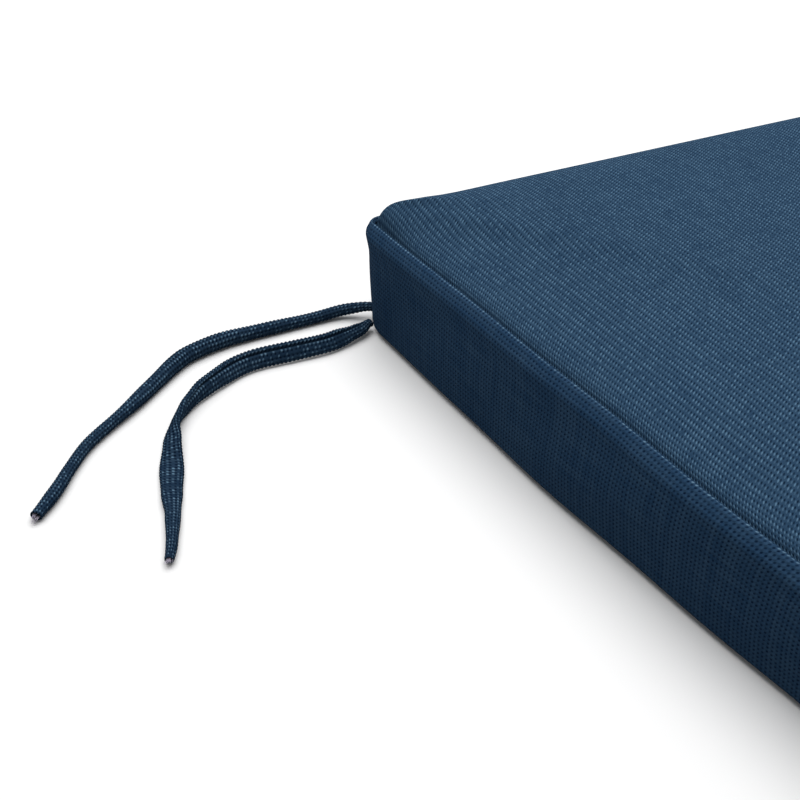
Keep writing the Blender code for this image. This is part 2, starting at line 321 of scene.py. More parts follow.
class WeaveGroup:
    """The shader node group of the two-tone weave, shared by all the cloth."""

    NAME = "two_tone_weave"

    INPUTS = (
        ("Cloth", "NodeSocketVector"),
        ("Cell Along", "NodeSocketFloat"),
        ("Cell Across", "NodeSocketFloat"),
        ("Dot Color", "NodeSocketColor"),
        ("Web Color", "NodeSocketColor"),
        ("Hole Color", "NodeSocketColor"),
        ("Dot Share", "NodeSocketFloat"),
        ("Dot Length", "NodeSocketFloat"),
        ("Dot Width", "NodeSocketFloat"),
        ("Hole Length", "NodeSocketFloat"),
        ("Hole Width", "NodeSocketFloat"),
        ("Lean", "NodeSocketFloat"),
        ("Hole Along", "NodeSocketFloat"),
        ("Hole Across", "NodeSocketFloat"),
    )
    OUTPUTS = (
        ("Color", "NodeSocketColor"),
        ("Height", "NodeSocketFloat"),
        ("Roughness", "NodeSocketFloat"),
    )

    def __init__(self) -> None:
        """Builds the group once."""
        self.tree = bpy.data.node_groups.new(self.NAME, "ShaderNodeTree")
        for name, kind in self.INPUTS:
            self.tree.interface.new_socket(name, in_out="INPUT", socket_type=kind)
        for name, kind in self.OUTPUTS:
            self.tree.interface.new_socket(name, in_out="OUTPUT", socket_type=kind)
        self._build()

    def _leaning_spot(
        self,
        bench: NodeBench,
        place: tuple[Socket, Socket],
        cell: tuple[Socket, Socket],
        size: tuple[Socket, Socket],
        lean: Socket,
    ) -> tuple[Socket, Socket]:
        """Measures how far a point is from its cell's leaning oval.

        Args:
            bench: The group's bench.
            place: Place along and across, in cells.
            cell: A cell's size along and across, in metres.
            size: The oval's half length and half width, in metres.
            lean: Angle of the oval's length from the cloth's length.

        Returns:
            The distance, which is 1 on the oval, and the cell's random number.
        """
        offsets = []
        numbers = []
        for value, length in zip(place, cell):
            number = bench.math("FLOOR", value)
            share = bench.math("SUBTRACT", bench.math("SUBTRACT", value, number), 0.5)
            offsets.append(bench.math("MULTIPLY", share, length))
            numbers.append(number)
        cos = bench.math("COSINE", lean)
        sin = bench.math("SINE", lean)
        longways = bench.math("ADD", bench.math("MULTIPLY", offsets[0], cos),
                              bench.math("MULTIPLY", offsets[1], sin))
        sideways = bench.math("SUBTRACT", bench.math("MULTIPLY", offsets[1], cos),
                              bench.math("MULTIPLY", offsets[0], sin))
        longways = bench.math("DIVIDE", longways, size[0])
        sideways = bench.math("DIVIDE", sideways, size[1])
        far = bench.math("SQRT", bench.math("ADD", bench.math("MULTIPLY", longways, longways),
                                            bench.math("MULTIPLY", sideways, sideways)))
        chance = bench.add("ShaderNodeTexWhiteNoise", noise_dimensions="2D")
        bench.feed(chance.inputs["Vector"], bench.join(numbers[0], numbers[1]))
        return far, chance.outputs["Value"]

    def _thread_lines(self, bench: NodeBench, u: Socket, v: Socket) -> Socket:
        """Returns 0 to 1, how full the two threads at a crossing are, changing slowly along each."""
        rows = bench.noise(
            bench.join(bench.math("MULTIPLY", u, 0.05), bench.math("FLOOR", v)), 1.0, 1.0
        ).outputs["Fac"]
        ends = bench.noise(
            bench.join(bench.math("FLOOR", u), bench.math("MULTIPLY", v, 0.05), 7.3), 1.0, 1.0
        ).outputs["Fac"]
        both = bench.math("ADD", bench.fade(rows, 0.28, 0.72), bench.fade(ends, 0.28, 0.72))
        return bench.math("MULTIPLY", both, 0.5)

    def _build(self) -> None:
        """Adds the group's nodes."""
        bench = NodeBench(self.tree)
        given = bench.add("NodeGroupInput").outputs
        cloth = given["Cloth"]
        cell = (given["Cell Along"], given["Cell Across"])
        wander = bench.noise(cloth, 70.0, 2.0).outputs["Color"]
        drift = bench.vector("SUBTRACT", wander, (0.5, 0.5, 0.5))
        moved = bench.vector("ADD", cloth, bench.vector("MULTIPLY", drift, (0.0012, 0.0012, 0.0)))
        along, across, _ = bench.split(moved)
        u = bench.math("DIVIDE", along, cell[0])
        v = bench.math("DIVIDE", across, cell[1])
        dot, dot_chance = self._leaning_spot(
            bench, (u, v), cell, (given["Dot Length"], given["Dot Width"]), given["Lean"]
        )
        hole_place = (
            bench.math("SUBTRACT", u, given["Hole Along"]),
            bench.math("SUBTRACT", v, given["Hole Across"]),
        )
        hole, hole_chance = self._leaning_spot(
            bench, hole_place, cell, (given["Hole Length"], given["Hole Width"]), given["Lean"]
        )
        full = self._thread_lines(bench, u, v)
        dot_mask = bench.fade(dot, 1.0, 0.35)
        hole_mask = bench.fade(hole, 1.0, 0.25)
        hidden = bench.math("SUBTRACT", 1.0, given["Dot Share"])
        shown = bench.fade(dot_chance, hidden, bench.math("ADD", hidden, 0.10))
        spread = bench.math("FRACT", bench.math("MULTIPLY", dot_chance, 17.3))
        sparkle = bench.math("MULTIPLY", bench.math("MULTIPLY", spread, spread), 1.10)
        lit = bench.math("ADD", bench.math("MULTIPLY", full, 0.25), sparkle)
        lit = bench.math("MULTIPLY", bench.math("ADD", lit, 0.30), shown)
        dot_mask = bench.math("MULTIPLY", dot_mask, lit, clamp=True)
        deep = bench.math("ADD", bench.math("MULTIPLY", hole_chance, 0.35), 0.65)
        hole_mask = bench.math("MULTIPLY", hole_mask, deep)
        web = bench.blend(bench.math("MULTIPLY", full, 0.15), given["Web Color"], given["Dot Color"])
        colour = bench.blend(hole_mask, web, given["Hole Color"])
        colour = bench.blend(dot_mask, colour, given["Dot Color"])
        broad = bench.noise(cloth, 11.0, 3.0).outputs["Fac"]
        shade = bench.math("ADD", bench.math("MULTIPLY", broad, 0.14), 0.93)
        colour = bench.blend(1.0, colour, bench.join(shade, shade, shade), "MULTIPLY")
        relief = bench.math("ADD", bench.fade(dot, 1.3, 0.0), 1.0)
        relief = bench.math("SUBTRACT", relief, bench.fade(hole, 1.1, 0.1))
        fibre = bench.noise(cloth, 2600.0, 2.0).outputs["Fac"]
        height = bench.math("ADD", relief, bench.math("MULTIPLY", fibre, 0.3))
        rough = bench.math("ADD", bench.math("MULTIPLY", hole_mask, 0.10), 0.82)
        result = bench.add("NodeGroupOutput").inputs
        bench.feed(result["Color"], colour)
        bench.feed(result["Height"], height)
        bench.feed(result["Roughness"], rough)


@dataclass(frozen=True)
class WovenCloth:
    """A finish of the two-tone cloth.

    Attributes:
        name: Material name.
        cell: A weave cell's size along and across the cloth, in metres.
        dot: Colour of the raised thread crossings.
        web: Colour of the threads between them.
        hole: Colour of the gaps.
        dot_share: Share of the crossings that show bright.
        dot_size: Half length and half width of a crossing, in metres.
        hole_size: Half length and half width of a gap, in metres.
        lean: Angle of both from the cloth's length, in degrees.
        hole_place: Where a gap lies from its crossing, in cells.
        relief: Depth of the weave in metres.
        fold_line: Place across the cloth of a fold along which every crossing is painted in the bright dot
            colour, a painted highlight where the fold catches the light, or None.
        fold_reach: How far from that line the painted highlight fades out, in metres.
    """

    name: str
    cell: tuple[float, float]
    dot: Colour
    web: Colour
    hole: Colour
    dot_share: float
    dot_size: tuple[float, float]
    hole_size: tuple[float, float]
    lean: float
    hole_place: tuple[float, float]
    relief: float
    fold_line: float | None = None
    fold_reach: float = 0.006

    def material(self, weave: WeaveGroup) -> bpy.types.Material:
        """Makes the material on the piece's cloth map.

        Args:
            weave: The shared weave group.

        Returns:
            The material.
        """
        made = bpy.data.materials.new(self.name)
        made.use_nodes = True
        bench = NodeBench(made.node_tree)
        shader = made.node_tree.nodes["Principled BSDF"]
        spread = bench.add("ShaderNodeUVMap", uv_map=CLOTH_MAP).outputs[0]
        group = bench.add("ShaderNodeGroup", node_tree=weave.tree)
        share: Socket | float = self.dot_share
        if self.fold_line is not None:
            _, across, _ = bench.split(spread)
            away = bench.math("ABSOLUTE", bench.math("SUBTRACT", across, self.fold_line))
            # Painted highlight: near the fold line every crossing shows in the bright dot colour, standing for
            # the light that the fold catches.
            fold_glint = bench.fade(away, self.fold_reach, 0.0)
            share = bench.math("ADD", bench.math("MULTIPLY", fold_glint, 1.0 - self.dot_share), self.dot_share)
        values = {
            "Cloth": spread,
            "Cell Along": self.cell[0],
            "Cell Across": self.cell[1],
            "Dot Color": (*self.dot, 1.0),
            "Web Color": (*self.web, 1.0),
            "Hole Color": (*self.hole, 1.0),
            "Dot Share": share,
            "Dot Length": self.dot_size[0],
            "Dot Width": self.dot_size[1],
            "Hole Length": self.hole_size[0],
            "Hole Width": self.hole_size[1],
            "Lean": math.radians(self.lean),
            "Hole Along": self.hole_place[0],
            "Hole Across": self.hole_place[1],
        }
        for name, value in values.items():
            bench.feed(group.inputs[name], value)
        bump = bench.add("ShaderNodeBump")
        bump.inputs["Strength"].default_value = 1.0
        bump.inputs["Distance"].default_value = self.relief
        bench.feed(bump.inputs["Height"], group.outputs["Height"])
        bench.feed(shader.inputs["Base Color"], group.outputs["Color"])
        bench.feed(shader.inputs["Roughness"], group.outputs["Roughness"])
        bench.feed(shader.inputs["Normal"], bump.outputs["Normal"])
        shader.inputs["Specular IOR Level"].default_value = 0.03
        return made


@dataclass(frozen=True)
class TipLining:
    """The pale inside of a tie's open end.

    Attributes:
        name: Material name.
        colour: Pale thread colour.
        shadow: Colour deep in the opening.
    """

    name: str = "tie_lining"
    colour: Colour = (0.78, 0.72, 0.86)
    shadow: Colour = (0.24, 0.22, 0.30)

    def material(self) -> bpy.types.Material:
        """Makes the material on Object coordinates."""
        made = bpy.data.materials.new(self.name)
        made.use_nodes = True
        bench = NodeBench(made.node_tree)
        shader = made.node_tree.nodes["Principled BSDF"]
        place = bench.add("ShaderNodeTexCoord").outputs["Object"]
        strands = bench.noise(place, 1400.0, 3.0).outputs["Fac"]
        mixed = bench.blend(bench.fade(strands, 0.35, 0.62), (*self.shadow, 1.0), (*self.colour, 1.0))
        bench.feed(shader.inputs["Base Color"], mixed)
        bump = bench.add("ShaderNodeBump")
        bump.inputs["Distance"].default_value = 0.0003
        bench.feed(bump.inputs["Height"], strands)
        bench.feed(shader.inputs["Normal"], bump.outputs["Normal"])
        shader.inputs["Roughness"].default_value = 0.85
        return made


CLOTH_MAP = "cloth"

PANEL_CLOTH = WovenCloth(
    name="panel_cloth_weave",
    cell=(0.00259, 0.00157),
    dot=(0.082, 0.160, 0.246),
    web=(0.018, 0.047, 0.093),
    hole=(0.002, 0.010, 0.027),
    dot_share=1.0,
    dot_size=(0.00118, 0.00042),
    hole_size=(0.00112, 0.00037),
    lean=36.0,
    hole_place=(0.30, -0.20),
    relief=0.00020,
)
# Painted shade and painted highlight: the band is the same cloth as the panels. Its darker web and hidden
# crossings are partly its own weave and partly painted shade for its upright sides, and its bright crossings
# along the fold line are a painted highlight.
BAND_CLOTH_PAINTED_LIGHT = WovenCloth(
    name="band_cloth_weave_painted_light",
    cell=(0.00197, 0.00180),
    dot=(0.110, 0.195, 0.280),
    web=(0.0130, 0.040, 0.088),
    hole=(0.002, 0.010, 0.031),
    dot_share=0.0,
    dot_size=(0.00080, 0.00060),
    hole_size=(0.00085, 0.00060),
    lean=35.0,
    hole_place=(0.40, 0.40),
    relief=0.00018,
    fold_line=0.0009,
    fold_reach=0.0011,
)
TIE_CLOTH = WovenCloth(
    name="tie_cloth_weave",
    cell=(0.0017, 0.0019),
    dot=(0.100, 0.180, 0.260),
    web=(0.008, 0.023, 0.050),
    hole=(0.001, 0.006, 0.018),
    dot_share=0.70,
    dot_size=(0.00075, 0.00050),
    hole_size=(0.00080, 0.00050),
    lean=55.0,
    hole_place=(0.43, -0.30),
    relief=0.00022,
)


# Meshes


class ClothMesh:
    """A bmesh skin grown ring by ring, with its cloth map."""

    def __init__(self) -> None:
        """Starts an empty skin."""
        self.bm = bmesh.new()
        self.u_layer = self.bm.verts.layers.float.new("cloth_u")
        self.v_layer = self.bm.verts.layers.float.new("cloth_v")

    def start(self, points: list[Vector], spread: list[tuple[float, float]]) -> list[bmesh.types.BMVert]:
        """Makes the first closed loop.

        Args:
            points: The loop's points.
            spread: Their places on the cloth.

        Returns:
            The loop's vertices.
        """
        verts = [self.bm.verts.new(point) for point in points]
        for index, vert in enumerate(verts):
            self.bm.edges.new((vert, verts[(index + 1) % len(verts)]))
        self._mark(verts, spread)
        return verts

    def _mark(self, verts: list[bmesh.types.BMVert], spread: list[tuple[float, float]]) -> None:
        """Writes each vertex's place on the cloth."""
        for vert, (u, v) in zip(verts, spread, strict=True):
            vert[self.u_layer] = u
            vert[self.v_layer] = v

    def loop_edges(self, verts: list[bmesh.types.BMVert]) -> list[bmesh.types.BMEdge]:
        """Returns the edges between neighbours of a closed loop."""
        return [self.bm.edges.get((verts[i - 1], verts[i])) for i in range(len(verts))]

    def grow(
        self,
        verts: list[bmesh.types.BMVert],
        points: list[Vector],
        spread: list[tuple[float, float]],
    ) -> list[bmesh.types.BMVert]:
        """Extrudes a loop on to new points.

        Args:
            verts: The loop to extrude.
            points: The new loop's points.
            spread: Their places on the cloth.

        Returns:
            The new loop's vertices.
        """
        grown = bmesh.ops.extrude_edge_only(self.bm, edges=self.loop_edges(verts))
        fresh = {elem for elem in grown["geom"] if isinstance(elem, bmesh.types.BMVert)}
        moved = []
        for vert, point in zip(verts, points, strict=True):
            partner = next(e.other_vert(vert) for e in vert.link_edges if e.other_vert(vert) in fresh)
            partner.co = point
            moved.append(partner)
        self._mark(moved, spread)
        return moved

    def close(self, verts: list[bmesh.types.BMVert]) -> None:
        """Fills a loop with one face."""
        bmesh.ops.contextual_create(self.bm, geom=verts)

    def join_ends(self, first: list[bmesh.types.BMVert], last: list[bmesh.types.BMVert]) -> None:
        """Bridges the first and last loops, so that the section closes."""
        bmesh.ops.bridge_loops(self.bm, edges=self.loop_edges(first) + self.loop_edges(last))

    def finish(self, name: str, material: bpy.types.Material, around: float | None = None) -> bpy.types.Object:
        """Turns the skin into a smooth-shaded object.

        Args:
            name: Object name.
            material: Its material.
            around: Cloth length after which u repeats, where the cloth goes round.

        Returns:
            The object, at the origin.
        """
        bmesh.ops.recalc_face_normals(self.bm, faces=self.bm.faces)
        cloth = self.bm.loops.layers.uv.new(CLOTH_MAP)
        for face in self.bm.faces:
            lengths = [loop.vert[self.u_layer] for loop in face.loops]
            wraps = around is not None and max(lengths) - min(lengths) > around / 2
            for loop, u in zip(face.loops, lengths):
                if wraps and u < around / 2:
                    u += around
                loop[cloth].uv = (u, loop.vert[self.v_layer])
        mesh = bpy.data.meshes.new(name)
        self.bm.to_mesh(mesh)
        self.bm.free()
        mesh.shade_smooth()
        mesh.materials.append(material)
        made = bpy.data.objects.new(name, mesh)
        bpy.context.collection.objects.link(made)
        return made


@dataclass(frozen=True)
class LipForm:
    """Section of one of the band's two rolled edges.

    Attributes:
        wide: Radius of the curve that leaves the wall.
        turn: Angle at which that curve ends, in degrees; 0 degrees faces straight out.
        slope: Straight length after it.
        tight: Radius of the fold that follows.
        end: Angle at which the cloth goes into its seam, in degrees.
    """

    wide: float
    turn: float
    slope: float
    tight: float
    end: float

    @property
    def rise(self) -> float:
        """Height from the wall's end to the fold's crest."""
        turn = math.radians(self.turn)
        return (self.wide - self.tight) * math.sin(turn) + self.slope * math.cos(turn) + self.tight

    def point(self, angle_deg: float, depth: float) -> tuple[float, float]:
        """Returns (inset, rise) at an angle and a depth under the outer surface."""
        inset, rise, radius = self.wide, 0.0, self.wide
        if angle_deg > self.turn:
            turn = math.radians(self.turn)
            inset += self.slope * math.sin(turn) - (self.wide - self.tight) * math.cos(turn)
            rise = self.rise - self.tight
            radius = self.tight
        angle = math.radians(angle_deg)
        return inset - (radius - depth) * math.cos(angle), rise + (radius - depth) * math.sin(angle)

    def angles(self, steps: int, past: float) -> list[float]:
        """Returns the angles of its rows.

        Args:
            steps: Segments on each of its two curves.
            past: Degrees past its end.
        """
        first = [self.turn * i / steps for i in range(steps + 1)]
        skip = 0 if self.slope > 0.0 else 1
        span = self.end + past - self.turn
        return first + [self.turn + 0.001 + span * i / steps for i in range(skip, steps + 1)]


@dataclass(frozen=True)
class CushionPlan:
    """The cushion's outline in plan and its section at the edge.

    Attributes:
        length: Size along X.
        depth: Size along Y.
        thickness: Height of the crown's top.
        band_cloth: Thickness of the band's cloth.
        clearance: Gap from the band's inside to the panels' tucked wall.
        lower_lip: Section of the band's lower rolled edge.
        upper_lip: Section of its upper one.
        band_low: Height of the band's lowest line.
        band_high: Height of the band's highest line.
        band_belly: How far the band stands out between its seams.
        corner_top: Plan radius of the corners under the top seam.
        corner_lip: Plan radius at the top seam.
        corner_bottom: Plan radius at the bottom seam.
        lip_reach: Inset over which the corner radius shrinks.
        corner_reach: Inset past which it grows again.
        bow_long: How far the long sides stand out.
        bow_short: How far the short sides stand out.
        waver: Slow unevenness of the sides.
        shoulder: Height of the steep edge with which the top leaves its seam.
        shoulder_corner: The same at the corners.
        shoulder_reach: Inset over which that edge turns level.
        shoulder_fade: Distance along a side over which a corner's steep edge wears off.
        reach_long: How quickly the top climbs past that edge on the long sides.
        reach_short: The same on the short sides.
        reach_corner_long: The same where a long side meets its corner.
        reach_corner_short: The same where a short side meets its corner.
        corner_fade: Distance along a side over which a corner's climb wears off.
        crown_dome: Rise of the top from its rim to its middle.
        bottom_curl: Width over which the bottom curls up to its seam.
        long_steps: Segments on a long side.
        short_steps: Segments on a short side.
        corner_steps: Segments on a corner.
    """

    length: float = 1.200
    depth: float = 0.460
    thickness: float = 0.0650
    band_cloth: float = 0.0012
    clearance: float = 0.0003
    lower_lip: LipForm = LipForm(0.0034, 60.0, 0.0, 0.0034, 135.0)
    upper_lip: LipForm = LipForm(0.0044, 40.0, 0.0032, 0.0020, 170.0)
    band_low: float = 0.0013
    band_high: float = 0.0486
    band_belly: float = 0.0008
    corner_top: float = 0.021
    corner_lip: float = 0.0150
    corner_bottom: float = 0.028
    lip_reach: float = 0.006
    corner_reach: float = 0.020
    bow_long: float = 0.0034
    bow_short: float = 0.0038
    waver: float = 0.0014
    shoulder: float = 0.0024
    shoulder_corner: float = 0.0070
    shoulder_reach: float = 0.0011
    shoulder_fade: float = 0.014
    reach_long: float = 0.0076
    reach_short: float = 0.038
    reach_corner_long: float = 0.0090
    reach_corner_short: float = 0.020
    corner_fade: float = 0.028
    crown_dome: float = 0.0020
    bottom_curl: float = 0.016
    long_steps: int = 150
    short_steps: int = 60
    corner_steps: int = 16

    def corner_radius(self, inset: float, height: float) -> float:
        """Returns the plan radius of a corner at an inset and height."""
        level = (height - self.band_low) / (self.band_high - self.band_low)
        outer = self.corner_bottom + (self.corner_top - self.corner_bottom) * smooth_step(level)
        outer += (self.corner_lip - self.corner_top) * smooth_step((level - 0.72) / 0.25)
        inner = outer - min(inset, self.lip_reach) * 1.9
        inner += max(inset - self.corner_reach, 0.0) * 0.5
        return min(inner, (self.depth / 2 - inset) * 0.8)

    def bow(self, along: float, half: float, rise: float, phase: float) -> float:
        """Returns how far a side stands out at a distance along it."""
        share = along / half
        ends = max(0.0, 1.0 - share * share)
        waves = math.sin(3.4 * share + phase) + 0.3 * math.sin(13.0 * share + 2.0 * phase)
        return ends * (rise + self.waver * waves)

    def ring(self, inset: float, height: float) -> tuple[list[Vector], list[Vector], list[Vector]]:
        """Traces one closed line around the cushion, anticlockwise from the +X side.

        Args:
            inset: Distance inside the plan's outline.
            height: Height of the line.

        Returns:
            The points, their places without the sides' bow, and the outward directions.
        """
        half_x = self.length / 2 - inset
        half_y = self.depth / 2 - inset
        radius = self.corner_radius(inset, height)
        fade = max(0.0, 1.0 - inset / 0.12)
        level = smooth_step((height - self.band_low) / (self.band_high - self.band_low))
        turned = 3.1 - 2.6 * level
        in_x = half_x - radius
        in_y = half_y - radius
        points: list[Vector] = []
        plain: list[Vector] = []
        outward: list[Vector] = []
        sides = (
            ((half_x, -in_y), (half_x, in_y), self.short_steps, in_y, self.bow_short, 0.0),
            ((in_x, half_y), (-in_x, half_y), self.long_steps, in_x, self.bow_long, 0.0),
            ((-half_x, in_y), (-half_x, -in_y), self.short_steps, in_y, self.bow_short, turned),
            ((-in_x, -half_y), (in_x, -half_y), self.long_steps, in_x, self.bow_long, 0.6),
        )
        centres = ((in_x, in_y), (-in_x, in_y), (-in_x, -in_y), (in_x, -in_y))
        for number, (start, end, steps, half, rise, phase) in enumerate(sides):
            normal = Vector((end[1] - start[1], start[0] - end[0], 0.0)).normalized()
            for step in range(steps):
                share = step / steps
                x = start[0] + (end[0] - start[0]) * share
                y = start[1] + (end[1] - start[1]) * share
                push = self.bow((2.0 * share - 1.0) * half, half, rise, phase) * fade
                plain.append(Vector((x, y, height)))
                points.append(plain[-1] + normal * push)
                outward.append(normal.copy())
            for step in range(self.corner_steps):
                angle = math.radians(90.0 * (number + step / self.corner_steps))
                spoke = Vector((math.cos(angle), math.sin(angle), 0.0))
                centre = Vector((*centres[number], height))
                plain.append(centre + spoke * radius)
                points.append(plain[-1].copy())
                outward.append(spoke)
        return points, plain, outward

    def lip_point(self, lip: Lip, angle_deg: float, depth: float) -> tuple[float, float]:
        """Returns (inset, height) on a rolled edge.

        Args:
            lip: The edge.
            angle_deg: Place round it.
            depth: Depth under the band's outer surface.
        """
        if lip is Lip.UPPER:
            inset, rise = self.upper_lip.point(angle_deg, depth)
            return inset, self.band_high - self.upper_lip.rise + rise
        inset, rise = self.lower_lip.point(angle_deg, depth)
        return inset, self.band_low + self.lower_lip.rise - rise

    def seam(self, lip: Lip) -> tuple[float, float]:
        """Returns (inset, height) of the seam beside a rolled edge."""
        form = self.upper_lip if lip is Lip.UPPER else self.lower_lip
        return self.lip_point(lip, form.end + 12.0, -self.clearance / 2.0)

    def wall(self, depth: float, steps: int, rows: int, gap: float = 0.0) -> list[tuple[float, float]]:
        """Traces a C-shaped section from the lower rolled edge up to the upper one.

        Args:
            depth: Depth under the band's outer surface.
            steps: Segments on each curve of a rolled edge.
            rows: Rows between the rolled edges.
            gap: Distance by which it goes round the ends of the cloth.

        Returns:
            The section as (inset, height) pairs.
        """
        ends: list[list[tuple[float, float]]] = []
        for lip, form in ((Lip.LOWER, self.lower_lip), (Lip.UPPER, self.upper_lip)):
            past = math.degrees(gap / (form.tight - depth)) + 2.0 if gap > 0.0 else 0.0
            ends.append([self.lip_point(lip, angle, depth) for angle in form.angles(steps, past)])
        low, high = list(reversed(ends[0])), ends[1]
        straight = []
        for row in range(1, rows):
            share = row / rows
            belly = self.band_belly * 4.0 * share * (1.0 - share)
            straight.append((depth - belly, low[-1][1] + (high[0][1] - low[-1][1]) * share))
        return [*low, *straight, *high]

    def climbs(self) -> list[tuple[float, float]]:
        """Returns the steep edge's height and the reach past it at each point of a ring."""
        inset, height = self.seam(Lip.UPPER)
        corner = inset + self.corner_radius(inset, height)
        short = (self.short_steps, self.depth / 2 - corner, self.reach_short, self.reach_corner_short)
        long = (self.long_steps, self.length / 2 - corner, self.reach_long, self.reach_corner_long)
        found: list[tuple[float, float]] = []
        for (steps, half, reach, end), turned in ((short, long), (long, short)) * 2:
            for step in range(steps):
                away = half - abs(2.0 * step / steps - 1.0) * half
                edge = self.shoulder_corner - self.shoulder
                edge = self.shoulder + edge * math.exp(-((away / self.shoulder_fade) ** 2))
                fade = math.exp(-away / self.corner_fade)
                found.append((edge, reach + (end - reach) * fade))
            for step in range(self.corner_steps):
                ease = smooth_step(step / self.corner_steps)
                found.append((self.shoulder_corner, end + (turned[3] - end) * ease))
        return found

    def top_height(self, inset: float, shoulder: float, reach: float) -> float:
        """Returns the crown's height at an inset.

        Args:
            inset: Distance inside the plan's outline.
            shoulder: Height of the steep edge.
            reach: How quickly the top climbs past it.
        """
        seam_inset, seam_height = self.seam(Lip.UPPER)
        run = inset - seam_inset
        edge = shoulder * (1.0 - math.exp(-run / self.shoulder_reach))
        rest = self.thickness - self.crown_dome - seam_height - shoulder
        dome = self.crown_dome * smooth_step(run / (self.depth / 2 - seam_inset))
        return seam_height + edge + rest * (1.0 - math.exp(-run / reach)) + dome

    def bottom_height(self, inset: float) -> float:
        """Returns the underside's height at an inset."""
        seam_inset, seam_height = self.seam(Lip.LOWER)
        share = max(0.0, 1.0 - (inset - seam_inset) / self.bottom_curl)
        return seam_height * share * share


def section_lengths(rows: list[tuple[float, float]]) -> list[float]:
    """Returns the running length of a section's polyline."""
    lengths = [0.0]
    for low, high in zip(rows, rows[1:]):
        lengths.append(lengths[-1] + math.dist(low, high))
    return lengths


@dataclass
class FilledPanels:
    """The top and bottom panels drawn over the filling, as one closed form.

    Attributes:
        plan: The cushion's plan and section.
        fill: How tight the filling is, from 0 to 1; it is not used.
    """

    plan: CushionPlan
    fill: float = 0.8
    top_steps_mm: tuple[float, ...] = (
        0.25, 0.55, 0.9, 1.3, 1.8, 2.5, 3.5, 4.7, 6.0, 7.5, 9.3, 11.5, 14.0, 17.0, 20.5, 24.5, 29.0,
        34.0, 41.0, 50.0, 61.0, 74.0, 88.0, 102.0, 118.0, 134.0, 150.0, 165.0, 180.0,
    )

    def _rows(self) -> tuple[list[tuple[float, float]], list[tuple[float, float]], list[tuple[float, float]]]:
        """Returns the rows of the bottom, tucked wall and top, each from below upwards."""
        plan = self.plan
        wall = plan.wall(plan.band_cloth + plan.clearance, 4, 6, gap=plan.clearance)
        low_seam = plan.seam(Lip.LOWER)
        high_seam = plan.seam(Lip.UPPER)
        shares = (0.08, 0.18, 0.3, 0.45, 0.6, 0.75, 0.88, 1.0)
        insets = [low_seam[0] + plan.bottom_curl * share for share in shares]
        insets += [0.032, 0.045, 0.065, 0.090, 0.120, 0.150, 0.182]
        bottom = [low_seam, *[(inset, plan.bottom_height(inset)) for inset in insets]]
        insets = [high_seam[0] + step * MM for step in self.top_steps_mm]
        heights = [plan.top_height(inset, plan.shoulder, plan.reach_long) for inset in insets]
        top = [high_seam, *zip(insets, heights)]
        return bottom, wall, top

    def _lift(self, points: list[Vector], inset: float) -> None:
        """Sets a ring of the top panel to the crown's height, which differs round the cushion."""
        for point, (shoulder, reach) in zip(points, self.plan.climbs(), strict=True):
            point.z = self.plan.top_height(inset, shoulder, reach)

    def _spread(self, rows: list[tuple[float, float]]) -> list[float]:
        """Returns each row's inset on the flat cloth, measured from the panel's middle outwards."""
        lengths = section_lengths(rows)
        return [rows[-1][0] - (lengths[-1] - length) for length in lengths]

    def build(self, cloth: bpy.types.Material) -> bpy.types.Object:
        """Makes the panels.

        Args:
            cloth: The panels' material.

        Returns:
            The piece.
        """
        bottom, wall, top = self._rows()
        skin = ClothMesh()
        order: list[tuple[tuple[float, float], float]] = []
        order += list(zip(reversed(bottom), reversed(self._spread(bottom))))
        order += [(row, row[0]) for row in wall]
        order += list(zip(top, self._spread(top)))
        ring: list[bmesh.types.BMVert] | None = None
        for (inset, height), flat_inset in order:
            points, plain, outward = self.plan.ring(inset, height)
            if (inset, height) in top[1:]:
                self._lift(points, inset)
            push = inset - flat_inset
            spread = [(p.x + o.x * push, p.y + o.y * push) for p, o in zip(plain, outward)]
            if ring is None:
                ring = skin.start(points, spread)
                skin.close(ring)
            else:
                ring = skin.grow(ring, points, spread)
        skin.close(ring)
        made = skin.finish("filled_panels", cloth)
        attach(made, BODY)
        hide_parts("cushion")
        return made


@dataclass
class BoxingBand:
    """The strip of cloth around the four sides, rolled over into both seams.

    Attributes:
        plan: The cushion's plan and section.
    """

    plan: CushionPlan

    def build(self, cloth: bpy.types.Material) -> bpy.types.Object:
        """Makes the band.

        Args:
            cloth: The band's material.

        Returns:
            The piece.
        """
        plan = self.plan
        outside = plan.wall(0.0, 7, 14)
        inside = plan.wall(plan.band_cloth, 4, 4)
        section = [*outside, *reversed(inside)]
        across = section_lengths(section)
        crest = max(range(len(outside)), key=lambda row: outside[row][1])
        shift = BAND_CLOTH_PAINTED_LIGHT.fold_line - across[crest]
        across = [length + shift for length in across]
        _, plain, _ = plan.ring(0.0, (plan.band_low + plan.band_high) / 2)
        along = section_lengths([(p.x, p.y) for p in [*plain, plain[0]]])
        skin = ClothMesh()
        first = ring = None
        for (inset, height), v in zip(section, across):
            points, _, _ = plan.ring(inset, height)
            spread = [(u, v) for u in along[:-1]]
            if ring is None:
                first = ring = skin.start(points, spread)
            else:
                ring = skin.grow(ring, points, spread)
        skin.join_ends(ring, first)
        made = skin.finish("side_band", cloth, around=along[-1])
        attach(made, BODY)
        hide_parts("boxing_band")
        return made


